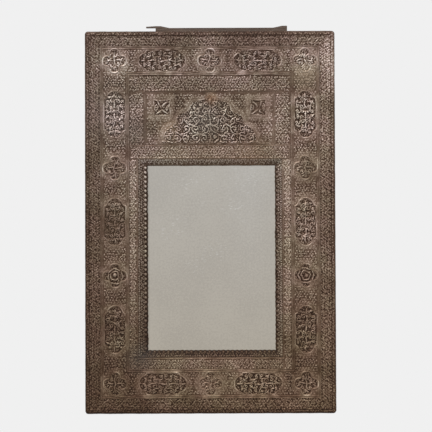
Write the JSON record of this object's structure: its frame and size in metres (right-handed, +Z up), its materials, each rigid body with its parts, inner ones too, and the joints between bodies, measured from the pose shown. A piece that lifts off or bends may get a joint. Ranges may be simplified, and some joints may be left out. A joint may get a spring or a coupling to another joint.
{
  "type": "wall mirror",
  "caption": "Rectangular wall mirror in a pegged wooden frame clad in embossed, tarnished sheet metal with cartouches, an arch panel and a beaded sight edge; rings for hanging.",
  "frame": {"origin": "on the wall plane, on the frame's centre line, level with the middle of the glass; it lies on the rear face of the middle back plank", "axes": "+X to the viewer's right, +Y into the wall (the glass faces -Y), +Z up"},
  "size_m": [0.5, 0.0303, 0.7772],
  "materials": {
    "core_wood": "old oiled softwood",
    "embossed_sheet": "embossed, silvered and tarnished",
    "back_wood": "raw, aged",
    "batten_wood": "raw, dark with age",
    "silvered_glass": "aged silvering with small specks",
    "iron": "forged, brown with age"
  },
  "bodies": {
    "mirror": {"left_stile": "core_wood", "right_stile": "core_wood", "top_rail": "core_wood", "cross_rail": "core_wood", "bottom_rail": "core_wood", "crest_board": "core_wood", "joint_pegs": "core_wood", "edge_strip_top": "embossed_sheet", "edge_strip_bottom": "embossed_sheet", "edge_strip_left": "embossed_sheet", "edge_strip_right": "embossed_sheet", "cartouche_band_top": "embossed_sheet", "cartouche_band_bottom": "embossed_sheet", "cartouche_band_left": "embossed_sheet", "cartouche_band_right": "embossed_sheet", "crest_border_top": "embossed_sheet", "crest_border_left": "embossed_sheet", "crest_border_right": "embossed_sheet", "crest_panel": "embossed_sheet", "mirror_border_top": "embossed_sheet", "mirror_border_bottom": "embossed_sheet", "mirror_border_left": "embossed_sheet", "mirror_border_right": "embossed_sheet", "sight_strip_top": "embossed_sheet", "sight_strip_bottom": "embossed_sheet", "sight_strip_left": "embossed_sheet", "sight_strip_right": "embossed_sheet", "back_plank_left": "back_wood", "back_plank_middle": "back_wood", "back_plank_right": "back_wood", "glazing_fillet_top": "back_wood", "glazing_fillet_bottom": "back_wood", "glazing_fillet_left": "back_wood", "glazing_fillet_right": "back_wood", "hanging_batten": "batten_wood", "mirror_glass": "silvered_glass", "left_hanger_strap": "iron", "right_hanger_strap": "iron", "plank_nails": "iron", "batten_screws": "iron", "hanger_screws": "iron"},
    "left_ring": {"left_hanging_ring": "iron"},
    "right_ring": {"right_hanging_ring": "iron"}
  },
  "joints": [
    {"name": "left_ring_swing", "type": "hinge", "parent": "mirror", "child": "left_ring", "pos_m": [-0.178, -0.00482, 0.289], "axis": [0, 0, 1], "range_deg": [0, 170]},
    {"name": "right_ring_swing", "type": "hinge", "parent": "mirror", "child": "right_ring", "pos_m": [0.178, -0.00482, 0.289], "axis": [0, 0, -1], "range_deg": [0, 170]}
  ]
}
